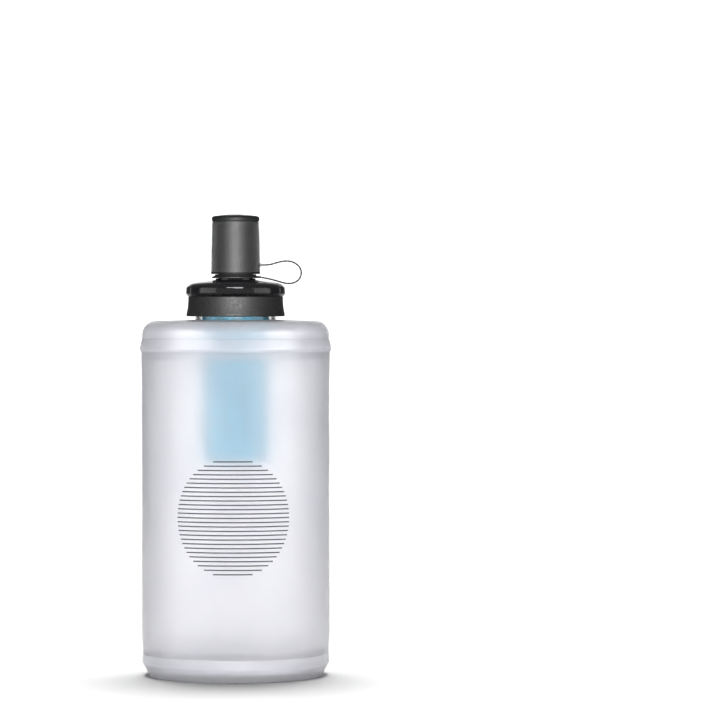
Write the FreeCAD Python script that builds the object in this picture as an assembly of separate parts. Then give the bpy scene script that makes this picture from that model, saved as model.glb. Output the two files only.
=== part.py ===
"""Soft folding water bottle with a screw-on filter cap, a drinking spout and a tethered dust cover.

Millimetres, +Z up, origin at the centre of the foot, where the bottle stands.
The film wall folds down between a moulded base and a moulded shoulder. The cap screws onto the
neck and carries the filter cartridge, the spout, a swivelling tether ring and the dust cover.
Each separate piece of the real bottle is one STEP file in parts/.
"""
import FreeCAD, Part
import math
import os

Vector = FreeCAD.Vector
UP = Vector(0, 0, 1)
ALONG_X = Vector(1, 0, 0)

# Running gaps between pieces that move apart.
film_gap = 0.3
thread_gap = 0.3
swivel_gap = 0.3
ring_float = 0.15
gasket_gap = 0.05
cord_end_gap = 0.08

# Base: a moulded cup and the hoop that is welded round its rim.
foot_radius = 45.9
foot_ring_width = 7.0
foot_recess = 0.8
foot_round = 0.8
floor_thickness = 1.6
cup_inner_slope = 3.2
cup_inner_rise = 1.6
cup_inner_round = 1.6
seam_height = 4.9
seam_radius = 48.2
bead_height = 7.0
bead_radius = 49.5
bead_round = 2.0
hoop_top = 12.0
hoop_wall = 1.1
cup_rim_height = 4.5
film_tongue_height = 3.0

# Film wall, which folds.
wall_foot_radius = 49.3
wall_radius = 49.8
wall_top_radius = 49.95
wall_swell_height = 14.0
wall_swell_round = 60.0
wall_straight_top = 130.0
film_thickness = 0.6
film_tuck = 3.8

# Band and shoulder.
band_bottom = 171.8
band_height = 6.9
band_lip_width = 0.55
band_bulge = 0.9
band_bulge_height = 1.6
band_bulge_round = 0.8
band_top_step = 0.05
weld_edge_round = 0.15
band_top_width = 0.45
shoulder_radius = 49.55
shoulder_lean = 0.2
shoulder_rise = 15.8
shoulder_corner = 7.0
shoulder_crown = 0.9
shoulder_wall = 1.5
shoulder_skirt = 4.0

# Neck, wide enough for the cartridge, with a screw thread.
neck_gap = 1.7
neck_wall = 2.2
neck_stand = 10.9
neck_flange_width = 7.5
neck_flange_thickness = 1.4
neck_round = 0.4
thread_pitch = 4.5
thread_span = 5.6
thread_height = 1.1
thread_root = 2.0
thread_crest = 1.2
thread_sink = 0.4
thread_from_lip = 7.0

# Cap: gloss shell over the neck, with a softer grip band round its skirt.
cap_clear_of_shoulder = 1.8
grip_above_lip = 1.5
grip_top_width = 0.9
grip_flare = 0.95
grip_waist_flare = 0.16
grip_waist_share = 0.55
grip_top_chamfer = 0.3
grip_lip = 0.3
grip_round = 0.6
skirt_wall = 1.2
cap_edge_step = 1.2
cap_edge_round = 0.3
cap_brim_height = 1.5
cap_brim_width = 1.05
cap_brim_round = 1.4
cap_side_height = 3.3
cap_side_lean = 0.2
cap_side_round = 1.6
cap_round_radius = 2.1
cap_round_height = 4.9
dome_foot_round = 1.5
dome_edge_round = 6.0
dome_top_round = 4.0
dome_edge_inset = 4.2
dome_edge_rise = 0.8
dome_rise = 1.5
dome_wall = 2.2
dome_top_width = 1.0
collar_width = 1.0
collar_height = 0.75
collar_rib_count = 36
collar_rib_size = 0.5
collar_rib_depth = 0.3
collar_rib_below_top = 0.1
gasket_thickness = 1.4
gasket_inset = 0.3
gasket_round = 0.3
seat_rib_width = 2.6
thread_start_turn = 0.35

# Spout: a stiff post on the cap and a soft mouthpiece pushed over it.
post_radius = 9.3
post_height = 6.0
post_bore = 5.0
post_tip_round = 0.5
mouth_skirt_wall = 1.0
mouth_skirt_height = 6.2
mouth_skirt_round = 0.8
mouth_root_above_post = 2.5
mouth_bore_above_post = 2.5
mouth_bend_round = 0.6
mouth_height = 21.5
mouth_root_step = 0.9
mouth_tip_radius = 7.6
mouth_bead = 0.55
mouth_bead_height = 3.0
mouth_bead_below_tip = 4.5
mouth_bore = 3.3
mouth_tip_round = 1.4

# Tether ring that turns round the post.
ring_height = 2.05
ring_hub_wall = 1.25
ring_flange_width = 1.7
ring_flange_thickness = 0.7
ring_flange_round = 0.2
ring_hub_foot = 0.2
ring_hub_height = 0.7
ring_hub_lean = 0.3
ring_hub_round = 0.6
ring_boss_radius = 0.85
ring_boss_tip_radius = 0.6
ring_boss_root = 1.0

# Dust cover: grained liner, smoke-tinted shell and a domed lid.
cover_height = 27.5
cover_rim_height = 1.0
cover_foot_gap = 0.85
cover_tip_gap = 1.55
shell_foot_gap = 0.05
shell_top_gap = 0.65
liner_wall = 1.2
liner_edge_round = 0.2
cover_rim_round = 0.3
shell_foot_wall = 0.6
shell_top_wall = 1.05
lid_groove_height = 0.5
lid_groove_depth = 0.5
lid_edge_height = 2.1
lid_dome_rise = 1.5
lid_shoulder_width = 1.2
lid_shoulder_rise = 0.6
lid_edge_round = 1.0
lid_lower_round = 0.25
lid_plug_height = 3.0
lid_plug_gap = 0.1
lid_plug_chamfer_width = 1.3
lid_plug_chamfer_height = 0.8
anchor_height = 4.7
anchor_root_radius = 1.1
anchor_tip_radius = 0.6
anchor_sink = 0.4

# Tether cord: its route in the XZ plane, out of the anchor, round and back to the ring.
tether_diameter = 0.9
tether_route = [
    (14.4, 217.5), (17.7, 217.45), (21.8, 218.75), (25.9, 219.7), (30.1, 219.35), (33.6, 217.1),
    (35.1, 213.8), (34.05, 210.0), (30.9, 207.85), (26.7, 207.6), (22.4, 208.95), (18.0, 210.15),
    (13.6, 210.95),
]
arc_share = 0.45

# Filter cartridge, hung from the cap.
cartridge_radius = 17.7
cartridge_wall = 1.8
cartridge_length = 85.0
cartridge_gap_below_roof = 2.6
cartridge_fit = 0.1
head_flange_height = 2.2
head_plug_height = 6.0
head_plug_wall = 2.3
head_roof = 2.0
head_flange_round = 0.6
head_edge_round = 0.2
spigot_radius = 8.4
spigot_height = 5.2
spigot_bore = 4.0
spigot_fit = 0.15
spigot_round = 0.4
socket_wall = 1.6
socket_roof_gap = 1.2
o_ring_radius = 0.9
o_ring_squeeze = 0.15
o_ring_side_gap = 0.1
potting_thickness = 6.0
end_cap_height = 3.0
end_cap_round = 1.6
end_cap_lip_height = 3.0
end_cap_lip_wall = 1.5
inlet_hole_radius = 1.6
inlet_hole_count = 8
inlet_hole_circle = 9.5
slot_count = 10
slot_width = 1.4
slot_length = 30.0
slot_above_end = 14.0
fibre_radius = 0.7
fibre_bend_radius = 2.2
fibre_gap_below = 4.0
fibre_rings = [(0.0, 1), (5.4, 5), (10.6, 10)]

# Heights and radii that follow from the sizes above.
shoulder_rim_height = band_bottom + shoulder_rise
neck_bore = cartridge_radius + neck_gap
neck_radius = neck_bore + neck_wall
cup_rim_radius = seam_radius - hoop_wall
cup_rim_top = seam_height + cup_rim_height
film_tongue_radius = wall_foot_radius - film_thickness
wall_top = band_bottom + film_tuck
band_top = band_bottom + band_height
band_bore = wall_top_radius + film_gap
weld_height = wall_top + film_gap
weld_radius = shoulder_radius - band_top_width
skirt_radius = wall_top_radius - film_thickness - film_gap
shoulder_top = shoulder_rim_height + shoulder_crown
neck_lip = shoulder_top + neck_stand
cap_bottom = shoulder_top + cap_clear_of_shoulder
grip_top = neck_lip + grip_above_lip
cap_bore = neck_radius + thread_height + thread_gap
skirt_outer = cap_bore + skirt_wall
grip_top_radius = skirt_outer + grip_top_width
cap_edge_radius = skirt_outer + cap_edge_step
brim_height = grip_top + cap_brim_height
brim_radius = cap_edge_radius + cap_brim_width
dome_edge_radius = brim_radius - dome_edge_inset
collar_radius = post_radius + collar_width
dome_top_radius = collar_radius + dome_top_width
dome_foot_height = brim_height + cap_round_height
dome_top = dome_foot_height + dome_edge_rise + dome_rise
gasket_bottom = neck_lip + gasket_gap
gasket_top = gasket_bottom + gasket_thickness
collar_top = dome_top + collar_height
ring_bottom = collar_top + ring_float
ring_hub_radius = post_radius + swivel_gap + ring_hub_wall
ring_flange_radius = ring_hub_radius + ring_flange_width
ring_top = ring_bottom + ring_height
mouth_bottom = ring_top + ring_float
mouth_top = mouth_bottom + mouth_height
post_top = mouth_bottom + post_height
mouth_skirt_radius = post_radius + mouth_skirt_wall
liner_foot_radius = mouth_skirt_radius + cover_foot_gap + liner_wall
liner_top_radius = mouth_tip_radius + mouth_bead + cover_tip_gap + liner_wall
cover_foot_radius = liner_foot_radius + shell_foot_gap + shell_foot_wall
cover_top_radius = liner_top_radius + shell_top_gap + shell_top_wall
cover_bottom = ring_top + ring_float
cover_rim_top = cover_bottom + cover_rim_height
lid_seat = cover_bottom + cover_height
cartridge_top = gasket_top - cartridge_gap_below_roof
cartridge_bottom = cartridge_top - cartridge_length
cartridge_bore = cartridge_radius - cartridge_wall
plug_radius = cartridge_bore - cartridge_fit
head_flange_top = cartridge_top + head_flange_height
spigot_top = head_flange_top + spigot_height
socket_top = spigot_top + socket_roof_gap
o_ring_height = head_flange_top + spigot_height / 2
head_plug_bottom = cartridge_top - head_plug_height
potting_bottom = head_plug_bottom - potting_thickness
tube_bottom = cartridge_bottom + end_cap_height


def at(radius, height):
    """A point of an outline: so far from the axis, so high."""
    return Vector(radius, 0, height)


def corner_arc(before, corner, after, radius):
    """The arc that rounds a corner, tangent to both of its runs."""
    back = (before - corner).normalize()
    ahead = (after - corner).normalize()
    half_angle = back.getAngle(ahead) / 2
    middle = (back + ahead).normalize()
    start = corner + back * (radius / math.tan(half_angle))
    end = corner + ahead * (radius / math.tan(half_angle))
    centre = corner + middle * (radius / math.sin(half_angle))
    return Part.Arc(start, centre - middle * radius, end)


def rounded_edges(points, radii, closed):
    """Straight runs between the points, joined by an arc at each point that has a radius."""
    count = len(points)
    arcs = {}
    for index in range(count):
        if radii[index] > 0:
            after = points[(index + 1) % count]
            arcs[index] = corner_arc(points[index - 1], points[index], after, radii[index])
    edges = []
    for index in range(count if closed else count - 1):
        following = (index + 1) % count
        start = arcs[index].EndPoint if index in arcs else points[index]
        end = arcs[following].StartPoint if following in arcs else points[following]
        if (end - start).Length > 1e-6:
            edges.append(Part.LineSegment(start, end).toShape())
        if following in arcs:
            edges.append(arcs[following].toShape())
    return edges


def turned(outline):
    """A solid of revolution from an outline of (radius, height) or (radius, height, rounding)."""
    points = [at(corner[0], corner[1]) for corner in outline]
    radii = [corner[2] if len(corner) > 2 else 0 for corner in outline]
    wire = Part.Wire(rounded_edges(points, radii, True))
    return Part.Face(wire).revolve(Vector(0, 0, 0), UP, 360)


def ring_copies(shape, count, start=0.0):
    """Equal copies of a shape round the axis."""
    copies = []
    for index in range(count):
        copy = shape.copy()
        copy.rotate(Vector(0, 0, 0), UP, start + 360.0 * index / count)
        copies.append(copy)
    return copies


def thread_ridge(root_radius, crest_radius, bottom, start_turn):
    """A screw ridge of trapezoid section that climbs by the thread's span."""
    sink = thread_sink if crest_radius > root_radius else -thread_sink
    root = root_radius - sink
    helix = Part.makeHelix(thread_pitch, thread_span, root_radius)
    corners = [
        Vector(root, 0, -thread_root / 2), Vector(crest_radius, 0, -thread_crest / 2),
        Vector(crest_radius, 0, thread_crest / 2), Vector(root, 0, thread_root / 2),
    ]
    section = Part.makePolygon(corners + corners[:1])
    ridge = Part.Wire(helix).makePipeShell([section], True, True)
    ridge.rotate(Vector(0, 0, 0), UP, 360.0 * start_turn)
    ridge.translate(Vector(0, 0, bottom + thread_pitch * start_turn))
    return ridge


def base_cup():
    """Moulded tray: foot ring, floor, lower half of the sloping edge and a rim inside the hoop."""
    floor_top = foot_recess + floor_thickness
    inner = cup_rim_radius - hoop_wall
    return turned([
        (0, foot_recess), (foot_radius - foot_ring_width, foot_recess),
        (foot_radius - foot_ring_width, 0), (foot_radius, 0, foot_round),
        (seam_radius, seam_height), (cup_rim_radius, seam_height),
        (cup_rim_radius, cup_rim_top), (inner, cup_rim_top),
        (inner, floor_top + cup_inner_rise, cup_inner_round),
        (inner - cup_inner_slope, floor_top), (0, floor_top),
    ])


def base_hoop():
    """Ring welded round the cup's rim, with a tongue that backs the foot of the film wall."""
    tongue_inner = film_tongue_radius - hoop_wall
    tongue_top = hoop_top + film_tongue_height
    return turned([
        (cup_rim_radius, seam_height), (seam_radius, seam_height), (bead_radius, bead_height, bead_round),
        (wall_foot_radius, hoop_top), (film_tongue_radius, hoop_top),
        (film_tongue_radius, tongue_top), (tongue_inner, tongue_top),
        (tongue_inner, cup_rim_top), (cup_rim_radius, cup_rim_top),
    ])


def side_wall():
    """The folding film wall: a thin tube, slightly narrower where it meets the base."""
    return turned([
        (wall_foot_radius, hoop_top), (wall_radius, hoop_top + wall_swell_height, wall_swell_round),
        (wall_radius, wall_straight_top), (wall_top_radius, band_bottom),
        (wall_top_radius, wall_top), (wall_top_radius - film_thickness, wall_top),
        (wall_top_radius - film_thickness, band_bottom),
        (wall_radius - film_thickness, wall_straight_top),
        (wall_radius - film_thickness, hoop_top + wall_swell_height, wall_swell_round),
        (film_tongue_radius, hoop_top),
    ])


def upper_band():
    """Welded band over the joint of film and shoulder, widest just above its lower edge."""
    bulge_z = band_bottom + band_bulge_height
    return turned([
        (band_bore, band_bottom), (wall_top_radius + band_lip_width, band_bottom),
        (wall_top_radius + band_bulge, bulge_z, band_bulge_round),
        (shoulder_radius + band_top_step, band_top, weld_edge_round),
        (weld_radius, band_top), (weld_radius, weld_height), (band_bore, weld_height),
    ])


def shoulder():
    """Moulded shoulder: skirt inside the film, rounded corner and nearly flat roof."""
    inner_corner = shoulder_corner - shoulder_wall
    inner_radius = shoulder_radius - shoulder_wall
    skirt_bottom = band_bottom - shoulder_skirt
    skirt_bore = skirt_radius - shoulder_wall
    return turned([
        (skirt_bore, skirt_bottom), (skirt_radius, skirt_bottom), (skirt_radius, weld_height),
        (weld_radius, weld_height), (weld_radius, band_top), (shoulder_radius, band_top, weld_edge_round),
        (shoulder_radius - shoulder_lean, shoulder_rim_height, shoulder_corner),
        (neck_radius, shoulder_top), (neck_radius, shoulder_top - shoulder_wall),
        (inner_radius - shoulder_lean, shoulder_rim_height - shoulder_wall, inner_corner),
        (inner_radius, band_top), (skirt_bore, weld_height - shoulder_wall),
    ])


def neck_collar():
    """Clear neck: flange under the roof, wall through it and a screw thread outside."""
    roof_width = shoulder_radius - shoulder_lean - shoulder_wall - neck_radius
    flange_top = shoulder_top - shoulder_wall
    flange_edge = flange_top - neck_flange_width * shoulder_crown / roof_width
    flange_bottom = flange_edge - neck_flange_thickness
    flange_radius = neck_radius + neck_flange_width
    body = turned([
        (neck_bore, flange_bottom), (flange_radius, flange_bottom, neck_round),
        (flange_radius, flange_edge), (neck_radius, flange_top),
        (neck_radius, neck_lip, neck_round), (neck_bore, neck_lip, neck_round),
    ])
    ridge = thread_ridge(neck_radius, neck_radius + thread_height, neck_lip - thread_from_lip, 0)
    return body.fuse(ridge).removeSplitter()


def cap_gasket():
    """Silicone washer between the cap and the neck's lip."""
    return turned([
        (neck_bore + gasket_inset, gasket_bottom, gasket_round),
        (neck_radius - gasket_inset, gasket_bottom, gasket_round),
        (neck_radius - gasket_inset, gasket_top), (neck_bore + gasket_inset, gasket_top),
    ])


def cap_shell():
    """Gloss cap: threaded skirt, brim, dome, ribbed collar, spout post and filter socket."""
    socket_bore = spigot_radius + spigot_fit
    socket_outer = socket_bore + socket_wall
    seat_inner = (neck_bore + neck_radius - seat_rib_width) / 2
    seat_outer = seat_inner + seat_rib_width
    under_edge = dome_foot_height + dome_edge_rise - dome_wall
    under_dome = dome_top - dome_wall
    under_brim = brim_height - cap_brim_round / 2
    body = turned([
        (cap_bore, cap_bottom + grip_lip), (skirt_outer, cap_bottom + grip_lip),
        (skirt_outer, grip_top), (cap_edge_radius, grip_top, cap_edge_round),
        (brim_radius, brim_height, cap_brim_round),
        (brim_radius - cap_side_lean, brim_height + cap_side_height, cap_side_round),
        (brim_radius - cap_round_radius, dome_foot_height, dome_foot_round),
        (dome_edge_radius, dome_foot_height + dome_edge_rise, dome_edge_round),
        (dome_top_radius, dome_top, dome_top_round), (collar_radius, dome_top),
        (collar_radius, collar_top), (post_radius, collar_top),
        (post_radius, post_top, post_tip_round), (post_bore, post_top),
        (post_bore, socket_top), (socket_bore, socket_top),
        (socket_bore, head_flange_top), (socket_outer, head_flange_top),
        (socket_outer, under_dome), (seat_inner, under_edge),
        (seat_inner, gasket_top), (seat_outer, gasket_top),
        (seat_outer, under_brim), (cap_bore, under_brim),
    ])
    start = neck_lip - thread_from_lip - thread_pitch / 2
    ridge = thread_ridge(cap_bore, cap_bore - thread_height, start, thread_start_turn)
    rib_height = collar_height - collar_rib_below_top
    rib = Part.makeBox(collar_rib_size + collar_rib_depth, collar_rib_size, rib_height)
    rib.translate(Vector(collar_radius - collar_rib_size, -collar_rib_size / 2, dome_top))
    return body.fuse([ridge] + ring_copies(rib, collar_rib_count)).removeSplitter()


def grip_band():
    """Grained band round the skirt, hollowed outside and flared at its lower edge."""
    foot = grip_top_radius + grip_flare
    lip_bore = cap_bore + thread_gap
    flare_start = at(foot, cap_bottom + 2 * grip_round)
    waist_height = cap_bottom + grip_waist_share * (grip_top - cap_bottom)
    waist = at(grip_top_radius + grip_waist_flare, waist_height)
    flare_end = at(grip_top_radius, grip_top - grip_top_chamfer)
    corners = [
        flare_end, at(grip_top_radius - grip_top_chamfer, grip_top), at(skirt_outer, grip_top),
        at(skirt_outer, cap_bottom + grip_lip), at(lip_bore, cap_bottom + grip_lip),
        at(lip_bore, cap_bottom), at(foot, cap_bottom), flare_start,
    ]
    radii = [0, 0, 0, 0, 0, 0, grip_round, 0]
    edges = rounded_edges(corners, radii, False)
    edges.append(Part.Arc(flare_start, waist, flare_end).toShape())
    return Part.Face(Part.Wire(edges)).revolve(Vector(0, 0, 0), UP, 360)


def mouthpiece():
    """Soft spout: skirt over the post, tapering neck, retaining bead and rounded tip."""
    bead_z = mouth_top - mouth_bead_below_tip
    bead_foot = bead_z - mouth_bead_height / 2
    bead_end = bead_z + mouth_bead_height / 2
    return turned([
        (post_radius, mouth_bottom), (mouth_skirt_radius, mouth_bottom),
        (mouth_skirt_radius, mouth_bottom + mouth_skirt_height, mouth_skirt_round),
        (post_radius - mouth_root_step, post_top + mouth_root_above_post, mouth_bend_round),
        (mouth_tip_radius, bead_foot, mouth_bend_round),
        (mouth_tip_radius + mouth_bead, bead_z, mouth_bend_round),
        (mouth_tip_radius, bead_end, mouth_bend_round),
        (mouth_tip_radius, mouth_top, mouth_tip_round), (mouth_bore, mouth_top, mouth_bend_round),
        (mouth_bore, post_top + mouth_bore_above_post), (post_bore, post_top),
        (post_radius, post_top),
    ])


def tether_ring():
    """Swivel ring: hub round the post, flared flange and the boss that takes the cord."""
    bore = post_radius + swivel_gap
    body = turned([
        (bore, ring_bottom), (ring_flange_radius, ring_bottom, ring_flange_round),
        (ring_flange_radius, ring_bottom + ring_flange_thickness, ring_flange_round),
        (ring_hub_radius + ring_hub_foot, ring_top - ring_hub_height, ring_hub_round),
        (ring_hub_radius + ring_hub_foot - ring_hub_lean, ring_top, ring_flange_round),
        (bore, ring_top),
    ])
    root = ring_flange_radius - ring_boss_root
    length = tether_route[-1][0] - cord_end_gap - root
    foot = Vector(root, 0, tether_route[-1][1])
    boss = Part.makeCone(ring_boss_radius, ring_boss_tip_radius, length, foot, ALONG_X)
    reach = root + length
    above = Part.makeCylinder(reach, ring_height, Vector(0, 0, ring_top))
    below = Part.makeCylinder(reach, ring_height, Vector(0, 0, ring_bottom - ring_height))
    return body.fuse(boss).cut([above, below]).removeSplitter()


def cover_outer_radius(height):
    """Radius of the dust cover's outside at a height above its lower edge."""
    return cover_foot_radius + (cover_top_radius - cover_foot_radius) * height / cover_height


def cover_liner():
    """Grained inner tube of the dust cover, narrower towards the lid, with a rim at its foot."""
    return turned([
        (liner_foot_radius - liner_wall, cover_bottom, liner_edge_round),
        (cover_foot_radius, cover_bottom, cover_rim_round),
        (cover_foot_radius, cover_rim_top), (liner_foot_radius, cover_rim_top),
        (liner_top_radius, lid_seat), (liner_top_radius - liner_wall, lid_seat),
    ])


def cover_shell():
    """Smoke-tinted clear tube outside the liner, thicker towards the lid."""
    foot = cover_outer_radius(cover_rim_height)
    return turned([
        (foot - shell_foot_wall, cover_rim_top), (foot, cover_rim_top),
        (cover_top_radius, lid_seat), (cover_top_radius - shell_top_wall, lid_seat),
    ])


def cover_lid():
    """Domed lid with a groove under its rounded edge and a plug that fills the liner."""
    groove_radius = cover_top_radius - lid_groove_depth
    edge_bottom = lid_seat + lid_groove_height
    edge_top = edge_bottom + lid_edge_height
    plug = liner_top_radius - liner_wall - lid_plug_gap
    plug_bottom = lid_seat - lid_plug_height
    rim = at(cover_top_radius - lid_shoulder_width, edge_top + lid_shoulder_rise)
    apex = at(0, edge_top + lid_dome_rise)
    corners = [
        at(0, plug_bottom), at(plug - lid_plug_chamfer_width, plug_bottom),
        at(plug, plug_bottom + lid_plug_chamfer_height), at(plug, lid_seat),
        at(groove_radius, lid_seat), at(groove_radius, edge_bottom),
        at(cover_top_radius, edge_bottom), at(cover_top_radius, edge_top), rim,
    ]
    radii = [0, 0, 0, 0, 0, 0, lid_lower_round, lid_edge_round, 0]
    sag = apex.z - rim.z
    sphere = (rim.x ** 2 + sag ** 2) / (2 * sag)
    half_way = rim.x / 2
    between = at(half_way, apex.z - sphere + math.sqrt(sphere ** 2 - half_way ** 2))
    edges = rounded_edges(corners, radii, False)
    edges.append(Part.Arc(rim, between, apex).toShape())
    edges.append(Part.LineSegment(apex, corners[0]).toShape())
    return Part.Face(Part.Wire(edges)).revolve(Vector(0, 0, 0), UP, 360)


def tether_anchor():
    """Small cone on the dust cover that the cord comes out of."""
    root = cover_outer_radius(anchor_height) - anchor_sink
    length = tether_route[0][0] - root
    foot = Vector(root, 0, tether_route[0][1])
    cone = Part.makeCone(anchor_root_radius, anchor_tip_radius, length, foot, ALONG_X)
    inside = turned([
        (0, cover_rim_top), (cover_outer_radius(cover_rim_height), cover_rim_top),
        (cover_top_radius, lid_seat), (0, lid_seat),
    ])
    return cone.cut(inside)


def tether():
    """The cord: straight runs joined by tangent arcs, as large as the runs allow."""
    points = [at(x, z) for x, z in tether_route]
    radii = [0.0]
    for index in range(1, len(points) - 1):
        back = points[index - 1] - points[index]
        ahead = points[index + 1] - points[index]
        half_turn = (math.pi - back.getAngle(ahead)) / 2
        radii.append(arc_share * min(back.Length, ahead.Length) / math.tan(half_turn))
    radii.append(0.0)
    path = Part.Wire(rounded_edges(points, radii, False))
    section = Part.Wire(Part.makeCircle(tether_diameter / 2, points[0], points[1] - points[0]))
    tube = path.makePipeShell([section], True, False)
    expected = math.pi * tether_diameter ** 2 / 4 * path.Length
    print("tether length %.1f, volume %.2f, expected %.2f" % (path.Length, tube.Volume, expected))
    print("tether radii", [round(radius, 1) for radius in radii[1:-1]])
    return tube


def filter_head():
    """Top of the cartridge: plug in the tube, flange and the spigot that seals in the cap."""
    groove_bottom = spigot_radius + spigot_fit - 2 * o_ring_radius + o_ring_squeeze
    groove_half = o_ring_radius + o_ring_side_gap
    return turned([
        (plug_radius - head_plug_wall, head_plug_bottom), (plug_radius, head_plug_bottom),
        (plug_radius, cartridge_top), (cartridge_radius, cartridge_top, head_edge_round),
        (cartridge_radius, head_flange_top, head_flange_round), (spigot_radius, head_flange_top),
        (spigot_radius, o_ring_height - groove_half), (groove_bottom, o_ring_height - groove_half),
        (groove_bottom, o_ring_height + groove_half), (spigot_radius, o_ring_height + groove_half),
        (spigot_radius, spigot_top, spigot_round), (spigot_bore, spigot_top),
        (spigot_bore, head_flange_top - head_roof),
        (plug_radius - head_plug_wall, cartridge_top - head_roof),
    ])


def head_o_ring():
    """Round seal in the spigot's groove."""
    squeezed = o_ring_radius - o_ring_squeeze / 2
    centre = spigot_radius + spigot_fit - squeezed
    return Part.makeTorus(centre, squeezed, Vector(0, 0, o_ring_height), UP)


def filter_housing():
    """The cartridge's tube, with a ring of inlet slots in its lower part."""
    tube = turned([
        (cartridge_bore, tube_bottom), (cartridge_radius, tube_bottom),
        (cartridge_radius, cartridge_top), (cartridge_bore, cartridge_top),
    ])
    slot = Part.makeBox(3 * cartridge_wall, slot_width, slot_length)
    slot_bottom = cartridge_bottom + slot_above_end
    slot.translate(Vector(cartridge_radius - 2 * cartridge_wall, -slot_width / 2, slot_bottom))
    return tube.cut(ring_copies(slot, slot_count))


def filter_end_cap():
    """Closed lower end of the cartridge, with inlet holes and a lip inside the tube."""
    lip_bore = plug_radius - end_cap_lip_wall
    lip_top = tube_bottom + end_cap_lip_height
    body = turned([
        (0, cartridge_bottom), (cartridge_radius, cartridge_bottom, end_cap_round),
        (cartridge_radius, tube_bottom), (plug_radius, tube_bottom), (plug_radius, lip_top),
        (lip_bore, lip_top), (lip_bore, tube_bottom), (0, tube_bottom),
    ])
    below = Vector(inlet_hole_circle, 0, cartridge_bottom - end_cap_height)
    hole = Part.makeCylinder(inlet_hole_radius, 3 * end_cap_height, below)
    return body.cut(ring_copies(hole, inlet_hole_count))


def potting_disc():
    """Resin plug that holds the open ends of the fibres and seals them from the raw water."""
    return turned([
        (0, potting_bottom), (cartridge_bore, potting_bottom),
        (cartridge_bore, head_plug_bottom), (0, head_plug_bottom),
    ])


def fibre_loop(distance, angle):
    """One fibre: down from the resin, round a half turn and back up."""
    bend_z = tube_bottom + end_cap_lip_height + fibre_gap_below + fibre_bend_radius
    left = Vector(-fibre_bend_radius, 0, potting_bottom)
    left_low = Vector(-fibre_bend_radius, 0, bend_z)
    right_low = Vector(fibre_bend_radius, 0, bend_z)
    right = Vector(fibre_bend_radius, 0, potting_bottom)
    lowest = Vector(0, 0, bend_z - fibre_bend_radius)
    path = Part.Wire([
        Part.LineSegment(left, left_low).toShape(), Part.Arc(left_low, lowest, right_low).toShape(),
        Part.LineSegment(right_low, right).toShape(),
    ])
    section = Part.Wire(Part.makeCircle(fibre_radius, left, UP))
    loop = path.makePipeShell([section], True, False)
    loop.rotate(Vector(0, 0, 0), UP, 90)
    loop.translate(Vector(distance, 0, 0))
    loop.rotate(Vector(0, 0, 0), UP, angle)
    return loop


def hollow_fibres():
    """The bundle of membrane fibres, fewer and thicker than the real ones."""
    loops = []
    for distance, count in fibre_rings:
        for index in range(count):
            loops.append(fibre_loop(distance, 360.0 * index / count))
    return Part.makeCompound(loops)


PIECES = {
    "base_cup": base_cup, "base_hoop": base_hoop, "side_wall": side_wall,
    "upper_band": upper_band, "shoulder": shoulder, "neck_collar": neck_collar,
    "cap_gasket": cap_gasket, "cap_shell": cap_shell, "grip_band": grip_band,
    "mouthpiece": mouthpiece, "tether_ring": tether_ring, "tether": tether,
    "tether_anchor": tether_anchor, "cover_liner": cover_liner, "cover_shell": cover_shell,
    "cover_lid": cover_lid, "filter_head": filter_head, "head_o_ring": head_o_ring,
    "filter_housing": filter_housing, "filter_end_cap": filter_end_cap,
    "potting_disc": potting_disc, "hollow_fibres": hollow_fibres,
}

os.makedirs("parts", exist_ok=True)
for node, make in PIECES.items():
    shape = make()
    shape.exportStep("parts/%s.step" % node)
    box = shape.BoundBox
    print("%-16s solids %2d valid %s volume %9.1f z %.2f to %.2f" % (
        node, len(shape.Solids), shape.isValid(), shape.Volume, box.ZMin, box.ZMax))
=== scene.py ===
# %% [markdown]
# # A folding water bottle, made around its CAD frame
# The bottle is a soft frosted tube between a moulded base and a moulded shoulder. A filter cap
# screws onto its neck, and a dust cover on a cord keeps the spout clean. The CAD frame already holds
# every hard piece at its true size. This lesson adds what CAD doesn't: the film, the cord, the
# printing, and a finish for each plastic.

# %% Load the frame
import math

import bmesh
import bpy
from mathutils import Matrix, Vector, noise


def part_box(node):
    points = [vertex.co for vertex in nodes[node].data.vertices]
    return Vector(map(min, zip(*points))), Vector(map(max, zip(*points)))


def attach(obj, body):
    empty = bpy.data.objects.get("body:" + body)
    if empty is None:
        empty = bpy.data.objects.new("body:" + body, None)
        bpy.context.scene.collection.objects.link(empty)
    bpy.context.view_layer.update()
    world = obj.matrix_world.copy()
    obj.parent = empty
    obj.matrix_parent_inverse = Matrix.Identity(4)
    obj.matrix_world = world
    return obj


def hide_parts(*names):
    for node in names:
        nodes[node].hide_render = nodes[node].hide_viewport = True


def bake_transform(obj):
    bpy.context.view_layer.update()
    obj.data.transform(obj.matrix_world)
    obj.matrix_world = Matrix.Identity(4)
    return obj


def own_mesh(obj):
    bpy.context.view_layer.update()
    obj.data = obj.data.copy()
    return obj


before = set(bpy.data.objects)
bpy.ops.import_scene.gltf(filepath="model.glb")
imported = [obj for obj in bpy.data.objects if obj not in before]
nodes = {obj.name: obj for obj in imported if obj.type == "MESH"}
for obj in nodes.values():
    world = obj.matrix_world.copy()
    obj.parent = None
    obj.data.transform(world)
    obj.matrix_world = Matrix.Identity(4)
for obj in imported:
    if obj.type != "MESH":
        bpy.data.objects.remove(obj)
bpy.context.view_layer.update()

MM = 0.001
scene = bpy.context.scene

# %% [markdown]
# ## Camera
# The bottle stands left of the middle of the picture, seen from the height of its cap and from
# about two metres away through a long lens, so its sides stay almost parallel. The camera leans
# down by about one degree.

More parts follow.
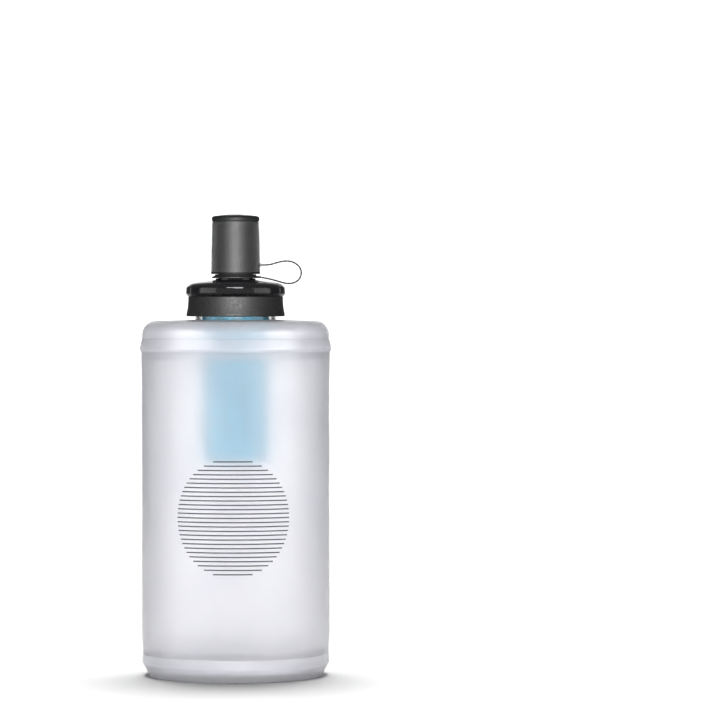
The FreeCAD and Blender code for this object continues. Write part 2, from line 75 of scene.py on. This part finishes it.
# %% Camera
camera_distance = 2067 * MM
camera_height = 204.3 * MM
camera_side = 65.9 * MM
camera_lean = math.radians(1.03)
camera_data = bpy.data.cameras.new("camera")
camera_data.lens = 195
camera_data.sensor_width = 36
camera_data.clip_start = 0.05
camera = bpy.data.objects.new("camera", camera_data)
camera.location = (camera_side, -camera_distance, camera_height)
camera.rotation_euler = (math.pi / 2 - camera_lean, 0, 0)
scene.collection.objects.link(camera)
scene.camera = camera
print("camera:", [round(x, 3) for x in camera.location])

# %% [markdown]
# ## The tether cord
# A thin braided cord joins the dust cover to its swivel ring. It leaves a small cone on the cover,
# rises a little because it is springy, turns round in a loop as wide as a fingertip and comes back
# to the ring. A few listed points steer one smooth NURBS line, and a braided tube follows that
# line. The same points are the route of the cord's solid in the CAD model.

# %% Tether route
tether_diameter = 0.9 * MM
tether_route = [
    (14.4, 217.5), (17.7, 217.45), (21.8, 218.75), (25.9, 219.7), (30.1, 219.35), (33.6, 217.1),
    (35.1, 213.8), (34.05, 210.0), (30.9, 207.85), (26.7, 207.6), (22.4, 208.95), (18.0, 210.15),
    (13.6, 210.95),
]


def nurbs_points(route):
    """The points of a smooth line steered by a route, as Blender draws the curve itself."""
    curve = bpy.data.curves.new("route", "CURVE")
    curve.dimensions = "3D"
    curve.resolution_u = 24
    spline = curve.splines.new("NURBS")
    spline.points.add(len(route) - 1)
    for point, place in zip(spline.points, route):
        point.co = (*place, 1)
    spline.order_u = 3
    spline.use_endpoint_u = True
    holder = bpy.data.objects.new("route", curve)
    scene.collection.objects.link(holder)
    bpy.context.view_layer.update()
    line = bpy.data.meshes.new_from_object(holder)
    points = [vertex.co.copy() for vertex in line.vertices]
    bpy.data.objects.remove(holder)
    return points


def line_length(points):
    return sum((b - a).length for a, b in zip(points, points[1:]))


tether_line = nurbs_points([(x * MM, 0, z * MM) for x, z in tether_route])
print("tether: %.1f mm along %d points" % (line_length(tether_line) / MM, len(tether_line)))

# %% Braided tube along the route
braid_strands = 8
braid_pitch = 2.4 * MM
braid_depth = 0.06 * MM
braid_step = 0.12 * MM
tube_sides = 32


def even_points(points, step):
    """The same line again, with its points a fixed step apart."""
    total = line_length(points)
    count = max(2, round(total / step))
    result = [points[0].copy()]
    walked = 0.0
    wanted = total / count
    for a, b in zip(points, points[1:]):
        run = (b - a).length
        while len(result) < count and walked + run >= wanted * len(result):
            result.append(a.lerp(b, (wanted * len(result) - walked) / run))
        walked += run
    result.append(points[-1].copy())
    return result


def braided_tube(name, points, radius):
    """A round cord whose surface rises where two sets of strands cross."""
    mesh = bmesh.new()
    rings = []
    across = Vector((0, 1, 0))
    travelled = 0.0
    for index, point in enumerate(points):
        after = points[min(index + 1, len(points) - 1)]
        before = points[max(index - 1, 0)]
        ahead = (after - before).normalized()
        side = ahead.cross(across).normalized()
        if index:
            travelled += (point - points[index - 1]).length
        ring = []
        for step in range(tube_sides):
            angle = 2 * math.pi * step / tube_sides
            turn = 2 * math.pi * travelled / braid_pitch
            left = math.cos(braid_strands / 2 * angle + turn)
            right = math.cos(braid_strands / 2 * angle - turn)
            height = radius - braid_depth + braid_depth * max(left, right)
            place = point + height * (math.cos(angle) * across + math.sin(angle) * side)
            ring.append(mesh.verts.new(place))
        rings.append(ring)
    join_rings(mesh, rings, rings[1:])
    mesh.faces.new(rings[0])
    mesh.faces.new(rings[-1])
    return finished(name, mesh)


def join_rings(mesh, rings, next_rings):
    """A band of faces from each ring of points to the next."""
    for ring, following in zip(rings, next_rings):
        for step in range(len(ring)):
            beside = (step + 1) % len(ring)
            mesh.faces.new((ring[step], ring[beside], following[beside], following[step]))


def finished(name, mesh):
    """A Blender object from a bmesh, smooth-shaded, with its faces turned outwards."""
    bmesh.ops.recalc_face_normals(mesh, faces=mesh.faces)
    data = bpy.data.meshes.new(name)
    mesh.to_mesh(data)
    mesh.free()
    data.shade_smooth()
    piece = bpy.data.objects.new(name, data)
    scene.collection.objects.link(piece)
    print("made", name, "with", len(data.vertices), "points")
    return piece


tether = braided_tube("tether_braid", even_points(tether_line, braid_step), tether_diameter / 2)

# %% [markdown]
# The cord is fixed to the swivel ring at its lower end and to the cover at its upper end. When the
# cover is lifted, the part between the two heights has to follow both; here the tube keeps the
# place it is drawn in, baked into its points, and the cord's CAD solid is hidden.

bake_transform(tether)
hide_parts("tether")

# %% [markdown]
# ## Helpers for finishes
# Colours are written as the sRGB hex values that a designer would pick, and one function turns them
# into the linear values that the renderer works in. A second small function adds a node with its
# settings and its links, so that each finish reads as a short list of what it is made of.

# %% Colour and node helpers


def linear(code):
    """An sRGB hex colour as the linear colour with alpha that shaders want."""
    channels = [int(code[start:start + 2], 16) / 255 for start in (0, 2, 4)]
    return [c / 12.92 if c <= 0.04045 else ((c + 0.055) / 1.055) ** 2.4 for c in channels] + [1.0]


def add(tree, kind, settings=None, **inputs):
    """Adds a node. Settings are its own properties; inputs are values or other nodes' outputs.

    An input goes by its name with _ for each space, or by i and its number.
    """
    node = tree.nodes.new(kind)
    for name, value in (settings or {}).items():
        setattr(node, name, value)
    for name, value in inputs.items():
        key = int(name[1:]) if name[1:].isdigit() else name.replace("_", " ")
        socket = node.inputs[key]
        if isinstance(value, bpy.types.NodeSocket):
            tree.links.new(value, socket)
        else:
            socket.default_value = value
    return node


def plastic(name, colour, roughness, ior=1.5, **extra):
    """A new material with one Principled surface. Returns the material, its tree and the surface."""
    material = bpy.data.materials.new(name)
    material.use_nodes = True
    tree = material.node_tree
    tree.nodes.clear()
    inputs = {"Base_Color": linear(colour), "Roughness": roughness, "IOR": ior, **extra}
    surface = add(tree, "ShaderNodeBsdfPrincipled", **inputs)
    add(tree, "ShaderNodeOutputMaterial", Surface=surface.outputs[0])
    return material, tree, surface


def grain(tree, size, detail=2.0, roughness=0.5):
    """Three-dimensional noise whose features are about so large, in metres, fixed to the piece."""
    place = add(tree, "ShaderNodeTexCoord")
    return add(
        tree, "ShaderNodeTexNoise", {"noise_dimensions": "3D"},
        Vector=place.outputs["Object"], Scale=1 / size, Detail=detail, Roughness=roughness)


def spread(tree, source, low, high, low_in=0.3, high_in=0.7):
    """The same pattern, stretched so that it runs from low to high."""
    inputs = {"Value": source, "From_Min": low_in, "From_Max": high_in, "To_Min": low, "To_Max": high}
    return add(tree, "ShaderNodeMapRange", **inputs).outputs["Result"]


def relief(tree, surface, height, depth):
    """Raises the surface by a pattern; depth is how far, in metres."""
    bump = add(tree, "ShaderNodeBump", Strength=1.0, Distance=depth, Height=height)
    tree.links.new(bump.outputs["Normal"], surface.inputs["Normal"])


def tinted(tree, surface, pattern, dark, light):
    """Lets the colour wander between two near shades with a pattern."""
    shade = add(
        tree, "ShaderNodeMix", {"data_type": "RGBA"},
        Factor=pattern, i6=linear(dark), i7=linear(light))
    tree.links.new(shade.outputs[2], surface.inputs["Base Color"])


# %% [markdown]
# ## Frosted film
# The folding wall is a tube of thermoplastic polyurethane film, about half a millimetre thick. Its
# surface is matt from the calender roll, so it scatters light: some comes straight back as white,
# and the rest goes through and turns what is inside into a soft blur. One Principled surface does
# both: each skin of the film sends about six sevenths of the light on through a rough interface and
# scatters the rest. The film must be a real shell with two skins, because a single sheet would bend
# light as a solid block does. The frosted mouldings are the same plastic from a satin tool.

# %% Film material
film_grit = 0.5 * MM


def frosted_film():
    name = "frosted polyurethane film, calendered matt"
    material, tree, surface = plastic(name, "f4f4f8", 0.35, ior=1.45)
    surface.inputs["Transmission Weight"].default_value = 0.86
    fine = grain(tree, film_grit)
    cloudy = grain(tree, 24 * MM)
    tinted(tree, surface, spread(tree, cloudy.outputs["Fac"], 0, 1), "f0f0f4", "f7f7fa")
    tree.links.new(spread(tree, fine.outputs["Fac"], 0.31, 0.39), surface.inputs["Roughness"])
    relief(tree, surface, fine.outputs["Fac"], 0.01 * MM)
    return material


def frosted_moulding():
    name = "frosted polyurethane, moulded satin"
    material, tree, surface = plastic(name, "f0f0f4", 0.34, ior=1.48)
    surface.inputs["Transmission Weight"].default_value = 0.82
    fine = grain(tree, film_grit)
    cloudy = grain(tree, 18 * MM)
    tinted(tree, surface, spread(tree, cloudy.outputs["Fac"], 0, 1), "ececf1", "f4f4f8")
    tree.links.new(spread(tree, fine.outputs["Fac"], 0.28, 0.36), surface.inputs["Roughness"])
    relief(tree, surface, fine.outputs["Fac"], 0.008 * MM)
    return material


film_finish = frosted_film()
moulding_finish = frosted_moulding()

# %% [markdown]
# ## The film wall
# The wall is drawn as the soft thing it is: a thin shell that follows the outline of its CAD solid,
# with shallow dents that the water and the hand leave in it. The dents only go inwards, and they fade
# out where the film is welded at both ends. The outline is read off the CAD model: the foot of the
# tube, the straight part and the slightly wider top under the band. In the weld itself film and
# shoulder melt into one, with no air between them, so the film's surfaces end just inside the band.

# %% Film wall outline
wall_low, wall_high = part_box("side_wall")
band_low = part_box("upper_band")[0]
wall_foot = wall_low.z
weld_overlap = 0.7 * MM
wall_top = band_low.z + weld_overlap
wall_widest = wall_high.x
foot_step = 0.65 * MM
middle_step = 0.15 * MM
swell_height = 14 * MM
straight_top = 130 * MM
film_thickness = 0.6 * MM
dent_depth = 0.35 * MM
dent_fade = 22 * MM
dent_length = 38 * MM
dents_around = 1.6
print("film from %.1f to %.1f mm up" % (wall_foot / MM, wall_top / MM))


def smooth(share):
    """Eases from 0 to 1 as the share does, with no corner at either end."""
    share = min(max(share, 0.0), 1.0)
    return share * share * (3 - 2 * share)


def round_point(radius, angle, height):
    """A point at a radius from the bottle's axis."""
    return (radius * math.cos(angle), radius * math.sin(angle), height)


def film_radius(angle, height):
    """Outer radius of the film, dents and all."""
    foot = foot_step * (1 - smooth((height - wall_foot) / swell_height))
    top = middle_step * smooth((height - straight_top) / (band_low.z - straight_top))
    fade = smooth((height - wall_foot) / dent_fade) * smooth((band_low.z - height) / dent_fade)
    place = Vector(round_point(dents_around, angle, height / dent_length))
    dent = dent_depth * (0.5 + 0.5 * noise.noise(place))
    return wall_widest - middle_step - foot + top - fade * dent


# %% Film wall mesh
wall_sides = 256
wall_rings = 96


def film_shell(name):
    """Outer and inner skins of the wall, joined at the foot and at the top."""
    mesh = bmesh.new()
    wall_height = wall_top - wall_foot
    heights = [wall_foot + wall_height * step / wall_rings for step in range(wall_rings + 1)]
    skins = [(0.0, heights), (film_thickness, heights[::-1])]
    rings = []
    for inset, levels in skins:
        for height in levels:
            ring = []
            for step in range(wall_sides):
                angle = 2 * math.pi * step / wall_sides
                radius = film_radius(angle, height) - inset
                ring.append(mesh.verts.new(round_point(radius, angle, height)))
            rings.append(ring)
    join_rings(mesh, rings, rings[1:] + rings[:1])
    return finished(name, mesh)


film = film_shell("film_wall")
film.data.materials.append(film_finish)

# %% [markdown]
# The two ends of the film are cut square, so their edges stay sharp while the rest is smooth. When
# the bottle is pushed down, the film gathers between base and shoulder. Here the film rides on the
# base with a mesh of its own and keeps its shape.

# %% Film rides on the base
square_edge = math.radians(50)


def folds_with_wall(piece, body="base"):
    """The piece rides on the base, with a mesh of its own."""
    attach(piece, body)
    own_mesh(piece)


film.data.set_sharp_from_angle(angle=square_edge)
folds_with_wall(film)
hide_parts("side_wall")

# %% [markdown]
# ## Printing on the wall
# The front of the bottle is screen printed in grey ink. The printing here is a plain round patch of
# level lines, such as marks how full a vessel is. Ink is a real layer, a few hundredths of a
# millimetre thick, so each line is a narrow ribbon that lies on the film and rides on the base with
# it.

# %% Ink
ink_grit = 0.4 * MM


def screen_ink():
    material, tree, surface = plastic("grey screen-printing ink, cured matt", "626363", 0.6)
    speck = grain(tree, ink_grit)
    tinted(tree, surface, spread(tree, speck.outputs["Fac"], 0, 1), "5a5b5b", "6c6d6d")
    relief(tree, surface, speck.outputs["Fac"], 0.01 * MM)
    return material


# %% Printed lines
print_centre = 86 * MM
print_radius = 31 * MM
line_gap = 2.25 * MM
line_width = 0.62 * MM
ink_height = 0.05 * MM
ink_foot = 0.01 * MM
ink_step = 0.8 * MM
front = -math.pi / 2


def ink_ribbon(mesh, height, reach):
    """One level line of ink round the front of the wall, reach to each side of the middle."""
    half_angle = reach / film_radius(front, height)
    steps = max(8, round(2 * reach / ink_step))
    rows = []
    for edge in (-0.5, 0.5):
        for lift in (ink_height, ink_foot):
            row = []
            for step in range(steps + 1):
                angle = front - half_angle + 2 * half_angle * step / steps
                level = height + edge * line_width
                radius = film_radius(angle, level) + lift
                row.append(mesh.verts.new(round_point(radius, angle, level)))
            rows.append(row)
    around = [rows[0], rows[2], rows[3], rows[1]]
    for row, following in zip(around, around[1:] + around[:1]):
        for step in range(steps):
            mesh.faces.new((row[step], row[step + 1], following[step + 1], following[step]))
    for end in (0, steps):
        mesh.faces.new([row[end] for row in around])


def printed_patch(name):
    """Level lines that fill a circle on the front of the wall."""
    mesh = bmesh.new()
    count = int(print_radius / line_gap)
    for index in range(-count, count + 1):
        offset = index * line_gap
        ink_ribbon(mesh, print_centre + offset, math.sqrt(print_radius ** 2 - offset ** 2))
    return finished(name, mesh)


ink = printed_patch("level_lines_print")
ink.data.materials.append(screen_ink())
folds_with_wall(ink)

# %% [markdown]
# ## Clear neck
# The neck is a rigid moulding in clear plastic, polished like a drinking glass. It bends what is
# behind it sharply, so it is all transmission with hardly any roughness, and a breath of grey.

# %% Neck material


def clear_plastic():
    name = "clear copolyester, moulded and polished"
    material, tree, surface = plastic(name, "eef0f2", 0.04, ior=1.54)
    surface.inputs["Transmission Weight"].default_value = 1.0
    handling = grain(tree, 3 * MM)
    tree.links.new(spread(tree, handling.outputs["Fac"], 0.02, 0.07), surface.inputs["Roughness"])
    return material


neck_finish = clear_plastic()

# %% [markdown]
# ## Gloss black cap
# The cap is moulded in a polished tool, so its skin is smooth and shows the lamps as clean patches.
# A faint orange peel, a millimetre or two across, keeps those patches from looking ruled. The soft
# charcoal parts come from a spark-eroded tool: grains a quarter of a millimetre across break the
# light up and give the broad, dusty highlight of matt plastic. Grains that fine would be too small
# to see, so they are drawn about three times as coarse.

# %% Black and charcoal plastics
spark_grain = 0.8 * MM


def gloss_black():
    material, tree, surface = plastic("black polypropylene, moulded gloss", "0c0c0d", 0.06)
    surface.inputs["Specular IOR Level"].default_value = 0.15
    peel = grain(tree, 1.8 * MM)
    dust = grain(tree, 0.7 * MM)
    tinted(tree, surface, spread(tree, dust.outputs["Fac"], 0, 1), "0a0a0b", "101011")
    tree.links.new(spread(tree, dust.outputs["Fac"], 0.04, 0.08), surface.inputs["Roughness"])
    relief(tree, surface, peel.outputs["Fac"], 0.004 * MM)
    return material


def charcoal_plastic():
    material, tree, surface = plastic("charcoal plastic, moulded with a spark grain", "1b1c1c", 0.62)
    surface.inputs["Specular IOR Level"].default_value = 0.12
    pits = grain(tree, spark_grain, detail=1.0)
    tinted(tree, surface, spread(tree, pits.outputs["Fac"], 0, 1), "151616", "222323")
    tree.links.new(spread(tree, pits.outputs["Fac"], 0.54, 0.68), surface.inputs["Roughness"])
    relief(tree, surface, pits.outputs["Fac"], 0.1 * MM)
    return material


black_finish = gloss_black()
charcoal_finish = charcoal_plastic()

# %% [markdown]
# ## Smoke-tinted cover shell
# Round the charcoal liner of the dust cover sits a thin see-through tube with a smoky tint and a
# satin skin. From the front it only carries the highlight, and at both sides, where the eye looks
# along its wall, it shows as a light edge. With the index of refraction of a real elastomer, 1.4 or
# more, two rough skins this close together render too light, so a lower one is used, matched to the
# look.

# %% Smoke-tinted plastic
smoke_ior = 1.16


def smoke_plastic():
    name = "smoke-tinted elastomer, moulded satin"
    material, tree, surface = plastic(name, "747576", 0.62, ior=smoke_ior)
    surface.inputs["Transmission Weight"].default_value = 1.0
    pits = grain(tree, spark_grain, detail=1.0)
    tree.links.new(spread(tree, pits.outputs["Fac"], 0.58, 0.68), surface.inputs["Roughness"])
    relief(tree, surface, pits.outputs["Fac"], 0.12 * MM)
    return material


smoke_finish = smoke_plastic()

# %% [markdown]
# ## Filter plastics, resin, fibres and seals
# The cartridge is moulded in a translucent blue. The resin that holds the fibres is cast, and sets
# to a clear cream. The fibres are porous, so they are dull and white. Seals and spout are silicone,
# which has the faint bloom of soft rubber: a little sheen gives that.

# %% Inner materials


def blue_plastic():
    material, tree, surface = plastic("translucent blue polypropylene, moulded", "18c2e6", 0.28)
    surface.inputs["Transmission Weight"].default_value = 0.15
    cloudy = grain(tree, 9 * MM)
    tinted(tree, surface, spread(tree, cloudy.outputs["Fac"], 0, 1), "10bce2", "22c8ec")
    tree.links.new(spread(tree, cloudy.outputs["Fac"], 0.24, 0.34), surface.inputs["Roughness"])
    return material


def cast_resin():
    material, tree, surface = plastic("cast polyurethane resin", "d8cda6", 0.2)
    swirl = grain(tree, 4 * MM)
    tinted(tree, surface, spread(tree, swirl.outputs["Fac"], 0, 1), "d2c69c", "dfd5b3")
    return material


def membrane():
    material, tree, surface = plastic("white polysulfone membrane, porous", "eeeeea", 0.85)
    pores = grain(tree, 0.3 * MM)
    tinted(tree, surface, spread(tree, pores.outputs["Fac"], 0, 1), "e4e4de", "f3f3f0")
    relief(tree, surface, pores.outputs["Fac"], 0.02 * MM)
    return material


def silicone(name, dark, light):
    material, tree, surface = plastic(name, dark, 0.55, ior=1.41)
    surface.inputs["Sheen Weight"].default_value = 0.2
    bloom = grain(tree, 1.5 * MM)
    tinted(tree, surface, spread(tree, bloom.outputs["Fac"], 0, 1), dark, light)
    tree.links.new(spread(tree, bloom.outputs["Fac"], 0.48, 0.62), surface.inputs["Roughness"])
    return material


def braided_cord():
    material, tree, surface = plastic("dark grey polyester cord, braided", "4a4a4c", 0.7)
    surface.inputs["Sheen Weight"].default_value = 0.3
    strands = grain(tree, 0.25 * MM)
    tinted(tree, surface, spread(tree, strands.outputs["Fac"], 0, 1), "3c3c3e", "5a5a5c")
    relief(tree, surface, strands.outputs["Fac"], 0.03 * MM)
    return material


tether.data.materials.append(braided_cord())

# %% [markdown]
# ## Which piece is made of what
# Every CAD node keeps its shape and gets the finish of its real plastic. Pieces from one material
# share one finish, so the list runs from finish to nodes.

# %% Give each node its finish
finishes = {
    moulding_finish: ["base_cup", "base_hoop", "upper_band", "shoulder"],
    neck_finish: ["neck_collar"],
    black_finish: ["cap_shell"],
    charcoal_finish: ["grip_band", "tether_ring", "cover_liner", "cover_lid"],
    smoke_finish: ["cover_shell", "tether_anchor"],
    silicone("black silicone, moulded", "1e1e20", "29292b"): ["mouthpiece", "head_o_ring"],
    silicone("grey silicone, moulded", "8c8f91", "9a9d9f"): ["cap_gasket"],
    blue_plastic(): ["filter_housing", "filter_head", "filter_end_cap"],
    cast_resin(): ["potting_disc"],
    membrane(): ["hollow_fibres"],
}
for material, names in finishes.items():
    for name in names:
        data = nodes[name].data
        data.materials.clear()
        data.materials.append(material)
    print(material.name, "->", ", ".join(names))

# %% [markdown]
# ## Floor
# The bottle stands on a plain pale floor. Its own lamp shines on nothing else: it comes from above
# and a little behind, so the bottle's soft shadow falls forwards and meets the foot, which is what
# tells the eye that the bottle stands on something. Only the bottle throws a shadow in its light.

# %% Floor
floor_reach = 6.0
floor_mesh = bmesh.new()
corners = [(-1, -1), (1, -1), (1, 1), (-1, 1)]
spots = [(x * floor_reach, y * floor_reach, 0) for x, y in corners]
floor_mesh.faces.new([floor_mesh.verts.new(spot) for spot in spots])
floor = finished("floor", floor_mesh)
floor_paint, floor_tree, floor_surface = plastic("pale studio floor, painted matt", "c6c6c6", 0.9)
floor_surface.inputs["Specular IOR Level"].default_value = 0.0
mottle = grain(floor_tree, 60 * MM)
tinted(floor_tree, floor_surface, spread(floor_tree, mottle.outputs["Fac"], 0, 1), "c4c4c4", "c8c8c8")
floor.data.materials.append(floor_paint)

# %% [markdown]
# ## Lamps
# Each lamp is a plain soft lamp that shines on some of the pieces only, as in a careful studio
# lamps are shaded with cards until each reaches just what it should. Blender calls this light linking:
# a lamp has a collection of the objects that receive its light, and it can have another of the
# objects that throw shadows in it. A polarised lamp makes a surface shine and doesn't light its
# colour, which keeps black plastic deep beside a bright highlight.

# %% Lamp helpers


def group_of(name, members):
    """A collection of these objects."""
    group = bpy.data.collections.new(name)
    for member in members:
        group.objects.link(member)
    return group


def only_on(light, receivers):
    """Lets a light shine on these objects and nothing else."""
    light.light_linking.receiver_collection = group_of(light.name + " receivers", receivers)


def lamp(name, place, target, size, radiance, receivers, polarised=False):
    """A soft rectangular lamp. Its radiance is how bright its face looks, 1 being white."""
    data = bpy.data.lights.new(name, "AREA")
    data.shape = "RECTANGLE"
    data.size, data.size_y = size
    data.energy = radiance * math.pi * size[0] * size[1]
    holder = bpy.data.objects.new(name, data)
    holder.location = place
    holder.rotation_euler = (Vector(target) - Vector(place)).to_track_quat("-Z", "Y").to_euler()
    holder.visible_camera = False
    holder.visible_diffuse = not polarised
    holder.visible_transmission = not polarised
    scene.collection.objects.link(holder)
    only_on(holder, receivers)
    print("lamp:", name, "on", len(receivers), "pieces")


# %% Floor lamp
sun_data = bpy.data.lights.new("floor_lamp", "SUN")
sun_lean = math.radians(-14)
sun_data.energy = 5.2
sun_data.angle = math.radians(30)
sun = bpy.data.objects.new("floor_lamp", sun_data)
sun.rotation_euler = (sun_lean, 0, 0)
scene.collection.objects.link(sun)
only_on(sun, [floor])
whole_bottle = list(nodes.values()) + [film, ink, tether]
sun.light_linking.blocker_collection = group_of("shadow casters", whole_bottle)

# %% [markdown]
# Frosted plastic wants wide lamps on both sides of the front, so that no hard highlight falls on
# its middle. The base and the shoulder need more light, so they get lamps of their own as well.
# A low, wide strip shines in through the clear neck, under the cap, and lights the blue filter.

# %% Body lamps
shoulder_pieces = [nodes["shoulder"], nodes["upper_band"]]
base_pieces = [nodes["base_cup"], nodes["base_hoop"]]
frosted_pieces = [film] + [nodes[name] for name in finishes[moulding_finish]]
inner_names = ["cap_gasket", "filter_housing", "filter_head", "filter_end_cap", "potting_disc"]
inner_pieces = [nodes[name] for name in inner_names]
neck_pieces = [nodes["neck_collar"]] + inner_pieces[:3]
for side in (-1, 1):
    lamp(
        "body_lamp", place=(side * 1.9, -1.5, 0.8), target=(0, 0, 0.12), size=(2.4, 1.4),
        radiance=5.4, receivers=frosted_pieces + inner_pieces)
lamp(
    "neck_lamp", place=(0.0, -2.2, 0.07), target=(0, 0, 0.19), size=(1.6, 0.12),
    radiance=130.0, receivers=neck_pieces)
lamp(
    "base_lamp", place=(0.0, -2.2, 0.2), target=(0, 0, 0.01), size=(1.4, 0.6),
    radiance=11.0, receivers=base_pieces)
for side in (-1, 1):
    lamp(
        "shoulder_lamp", place=(side * 1.5, -1.0, 0.7), target=(0, 0, 0.18), size=(1.3, 1.2),
        radiance=3.0, receivers=shoulder_pieces)

# %% [markdown]
# Dull charcoal shows its shape by one broad highlight down its middle, so a tall polarised lamp
# stands right in front of it, with a weak twin behind for the far side. Each kind of surface gets
# its own strength.

# %% Lamps for the charcoal pieces
cap_middle = (0, 0, 0.21)
front_strengths = [
    (980, ["grip_band", "tether_ring"]),
    (540, ["cover_lid", "cover_liner", "tether_anchor"]),
    (2250, ["cover_shell"]),
]
back_share = 0.07
for radiance, names in front_strengths:
    pieces = [nodes[name] for name in names]
    for side, share in ((-1, 1.0), (1, back_share)):
        lamp(
            "cap_lamp", place=(0.0, side * 2.3, 0.35), target=cap_middle, size=(0.3, 0.8),
            radiance=radiance * share, receivers=pieces, polarised=True)

# %% [markdown]
# Gloss black is shown by what it mirrors: two upright soft boxes, one on each side, a flat one
# above the front edge, and two thin ones close behind that draw a streak down each side.

# %% Lamps for the gloss cap
gloss_pieces = [nodes[name] for name in finishes[black_finish]]
side_turn = math.radians(66)
side_distance = 1.2
for side in (-1, 1):
    across = side * side_distance * math.sin(side_turn)
    forward = -side_distance * math.cos(side_turn)
    lamp(
        "side_box", place=(across, forward, 0.45), target=cap_middle, size=(0.95, 0.88),
        radiance=3.6, receivers=gloss_pieces)
lamp(
    "edge_lamp", place=(0.0, -0.75, 0.95), target=cap_middle, size=(0.6, 0.45),
    radiance=40, receivers=gloss_pieces)
for side in (-1, 1):
    lamp(
        "streak_box", place=(side * 0.33, 0.23, 0.2), target=(0, 0, 0.2), size=(0.035, 0.25),
        radiance=1.6, receivers=gloss_pieces)

# %% [markdown]
# ## Sky and flags
# All the rest of the light comes from a white room, which is brightest round the horizon and dim
# overhead. Two grey boards, which the camera doesn't see, stand beside and behind the bottle.
# In a studio they are called flags: they put darker edges on a white cylinder, which would otherwise
# vanish into the background.

# %% World
world = bpy.data.worlds.new("studio")
world.use_nodes = True
scene.world = world
sky = world.node_tree
sky.nodes.clear()
horizon = 1.35
zenith = 0.2
bright_below = 0.12
dim_above = 0.6
direction = add(sky, "ShaderNodeTexCoord")
height = add(sky, "ShaderNodeSeparateXYZ", Vector=direction.outputs["Generated"]).outputs["Z"]
brightness = spread(sky, height, horizon, zenith, low_in=bright_below, high_in=dim_above)
backdrop = add(sky, "ShaderNodeBackground", Color=linear("ffffff"), Strength=brightness)
add(sky, "ShaderNodeOutputWorld", Surface=backdrop.outputs[0])
print("sky from", horizon, "at the horizon to", zenith, "overhead")

# %% Flags
flag_near = (0.45, 0.0)
flag_far = (0.5, 1.3)
flag_height = 1.2


def flag(name, side):
    """A grey upright board beside and behind the bottle, for reflections and shading only."""
    mesh = bmesh.new()
    foot = [(*flag_near, 0.0), (*flag_far, 0.0)]
    top = [(*flag_far, flag_height), (*flag_near, flag_height)]
    mesh.faces.new([mesh.verts.new((side * x, y, z)) for x, y, z in foot + top])
    board = finished(name, mesh)
    cloth, _, surface = plastic("grey flag cloth", "808080", 0.9)
    surface.inputs["Specular IOR Level"].default_value = 0.0
    board.data.materials.append(cloth)
    board.visible_camera = False


flag("flag_left", -1)
flag("flag_right", 1)

# %% [markdown]
# ## Last settings
# The colours go to the picture as they are, with no film-like curve, so that white stays white.

# %% Colour management
scene.view_settings.view_transform = "Standard"
scene.view_settings.look = "None"
